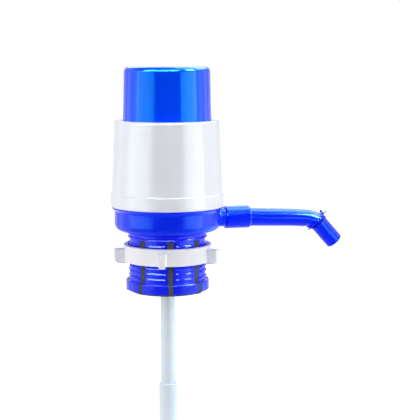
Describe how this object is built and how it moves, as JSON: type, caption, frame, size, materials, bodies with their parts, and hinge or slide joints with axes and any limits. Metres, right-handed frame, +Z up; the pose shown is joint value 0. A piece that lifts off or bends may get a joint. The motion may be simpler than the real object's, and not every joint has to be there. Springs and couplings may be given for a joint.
{
  "type": "water jug hand pump",
  "caption": "Hand pump for a large water jug: push cap with bellows, white sleeve, blue base, clamp collar, side spout and dip tube.",
  "frame": {"origin": "on the pump's axis, in the plane of the seat that rests on the lip of the bottle's neck", "axes": "+Z up along the pump's axis to the push cap, +X out along the spout, +Y completes the right-handed frame"},
  "size_m": [0.2148, 0.1008, 0.6191],
  "materials": {
    "blue_gloss": "polished",
    "collar_blue": "satin",
    "white_gloss": "polished",
    "white_ring": "matte",
    "milky_tube": "satin",
    "inner_white": "matte",
    "bellows_skin": "satin",
    "dark_rubber": "matte",
    "soft_valve": "matte",
    "steel": "brushed",
    "tie_blue": "satin"
  },
  "bodies": {
    "base": {"base_chamber": "blue_gloss", "base_deck": "inner_white", "deck_seal": "dark_rubber", "deck_screws": "steel", "bellows_clamp_ring": "inner_white", "bellows": "bellows_skin", "return_spring": "steel", "outer_sleeve": "white_gloss", "outlet_seals": "dark_rubber", "tube_seal": "dark_rubber", "neck_collar": "collar_blue", "neck_gasket": "dark_rubber", "lip_washer": "dark_rubber", "dip_tube_upper": "milky_tube", "tube_coupler_upper": "milky_tube", "dip_tube_middle": "milky_tube", "tube_coupler_lower": "milky_tube", "dip_tube_lower": "milky_tube"},
    "cap": {"push_cap": "blue_gloss", "bellows_top_ring": "inner_white", "cap_screws": "steel"},
    "inlet_flap": {"inlet_valve": "soft_valve"},
    "delivery_flap": {"delivery_valve": "soft_valve"},
    "clamp": {"clamp_ring": "white_ring"},
    "spout": {"spout_tube": "blue_gloss", "nozzle": "blue_gloss", "nozzle_seal": "dark_rubber", "nozzle_tie": "tie_blue"}
  },
  "joints": [
    {"name": "press", "type": "slide", "parent": "base", "child": "cap", "axis": [0, 0, -1], "range_m": [0, 0.042], "stiffness_N_per_m": 450, "springref_m": -0.02, "deforming": ["bellows", "return_spring"]},
    {"name": "inlet_valve_lift", "type": "slide", "parent": "cap", "child": "inlet_flap", "axis": [0, 0, -1], "range_m": [0, 0.0012], "stiffness_N_per_m": 10, "springref_m": -0.001},
    {"name": "delivery_valve_lift", "type": "slide", "parent": "base", "child": "delivery_flap", "axis": [0, 0, -1], "range_m": [0, 0.0012], "stiffness_N_per_m": 10, "springref_m": -0.001},
    {"name": "clamp_slide", "type": "slide", "parent": "base", "child": "clamp", "axis": [0, 0, 1], "range_m": [-0.0164, 0.0066]},
    {"name": "spout_swivel", "type": "hinge", "parent": "base", "child": "spout", "pos_m": [0, 0, 0.0152], "axis": [1, 0, 0], "continuous": true}
  ]
}
